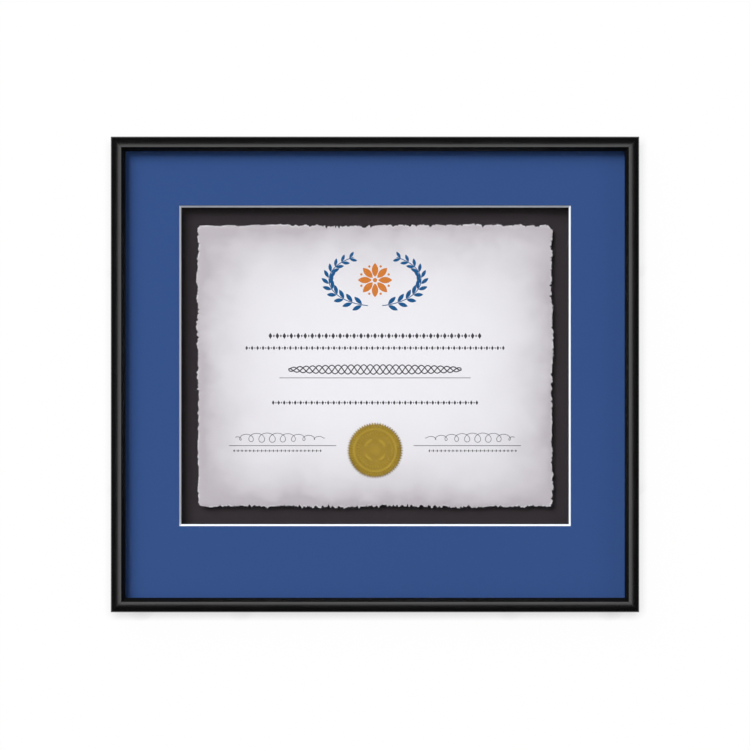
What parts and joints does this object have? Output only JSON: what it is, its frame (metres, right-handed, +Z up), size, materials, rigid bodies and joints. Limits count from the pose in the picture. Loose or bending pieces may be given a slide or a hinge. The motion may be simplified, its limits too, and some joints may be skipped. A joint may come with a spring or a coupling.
{
  "type": "certificate frame",
  "caption": "Narrow black mitred frame with clear glazing, a bevelled blue mat and a floating deckle-edged certificate with a foil seal, held in by turn buttons.",
  "frame": {"origin": "on the wall plane, where the hanging nail meets the middle notch of the sawtooth hanger", "axes": "+X to the viewer's right, +Y out of the back into the wall, +Z up; the front faces -Y"},
  "size_m": [0.3778, 0.0236, 0.3399],
  "materials": {
    "lacquer": "satin",
    "glazing": "gloss",
    "mat_blue": "matte",
    "mat_white": "matte",
    "foam_board": "matte",
    "board_charcoal": "matte",
    "certificate_paper": "matte",
    "gold_foil": "satin",
    "hardboard": "matte",
    "button_steel": "satin",
    "screw_steel": "satin",
    "hanger_steel": "satin",
    "nail_steel": "satin",
    "rubber": "matte"
  },
  "bodies": {
    "frame": {"rail_top": "lacquer", "rail_bottom": "lacquer", "rail_left": "lacquer", "rail_right": "lacquer", "corner_v_nails": "nail_steel", "glazing": "glazing", "mat_face_paper": "mat_blue", "mat_core": "mat_white", "spacer_top": "foam_board", "spacer_bottom": "foam_board", "spacer_left": "foam_board", "spacer_right": "foam_board", "mount_board": "board_charcoal", "float_riser": "foam_board", "certificate": "certificate_paper", "gold_seal": "gold_foil", "backing_panel": "hardboard", "turn_button_screws": "screw_steel", "sawtooth_hanger": "hanger_steel", "hanger_nails": "nail_steel", "wall_bumpers": "rubber"},
    "turn_button_top_left": {"turn_button_top_left": "button_steel"},
    "turn_button_top_right": {"turn_button_top_right": "button_steel"},
    "turn_button_bottom_left": {"turn_button_bottom_left": "button_steel"},
    "turn_button_bottom_right": {"turn_button_bottom_right": "button_steel"},
    "turn_button_left_upper": {"turn_button_left_upper": "button_steel"},
    "turn_button_left_lower": {"turn_button_left_lower": "button_steel"},
    "turn_button_right_upper": {"turn_button_right_upper": "button_steel"},
    "turn_button_right_lower": {"turn_button_right_lower": "button_steel"}
  },
  "joints": [
    {"name": "turn_top_left", "type": "hinge", "parent": "frame", "child": "turn_button_top_left", "pos_m": [-0.09685, -0.0024, 0.00158], "axis": [0, 1, 0], "range_deg": [-90, 90]},
    {"name": "turn_top_right", "type": "hinge", "parent": "frame", "child": "turn_button_top_right", "pos_m": [0.09685, -0.0024, 0.00158], "axis": [0, 1, 0], "range_deg": [-90, 90]},
    {"name": "turn_bottom_left", "type": "hinge", "parent": "frame", "child": "turn_button_bottom_left", "pos_m": [-0.09685, -0.0024, -0.33208], "axis": [0, 1, 0], "range_deg": [-90, 90]},
    {"name": "turn_bottom_right", "type": "hinge", "parent": "frame", "child": "turn_button_bottom_right", "pos_m": [0.09685, -0.0024, -0.33208], "axis": [0, 1, 0], "range_deg": [-90, 90]},
    {"name": "turn_left_upper", "type": "hinge", "parent": "frame", "child": "turn_button_left_upper", "pos_m": [-0.18568, -0.0024, -0.08725], "axis": [0, 1, 0], "range_deg": [-90, 90]},
    {"name": "turn_left_lower", "type": "hinge", "parent": "frame", "child": "turn_button_left_lower", "pos_m": [-0.18568, -0.0024, -0.24325], "axis": [0, 1, 0], "range_deg": [-90, 90]},
    {"name": "turn_right_upper", "type": "hinge", "parent": "frame", "child": "turn_button_right_upper", "pos_m": [0.18568, -0.0024, -0.08725], "axis": [0, 1, 0], "range_deg": [-90, 90]},
    {"name": "turn_right_lower", "type": "hinge", "parent": "frame", "child": "turn_button_right_lower", "pos_m": [0.18568, -0.0024, -0.24325], "axis": [0, 1, 0], "range_deg": [-90, 90]}
  ]
}
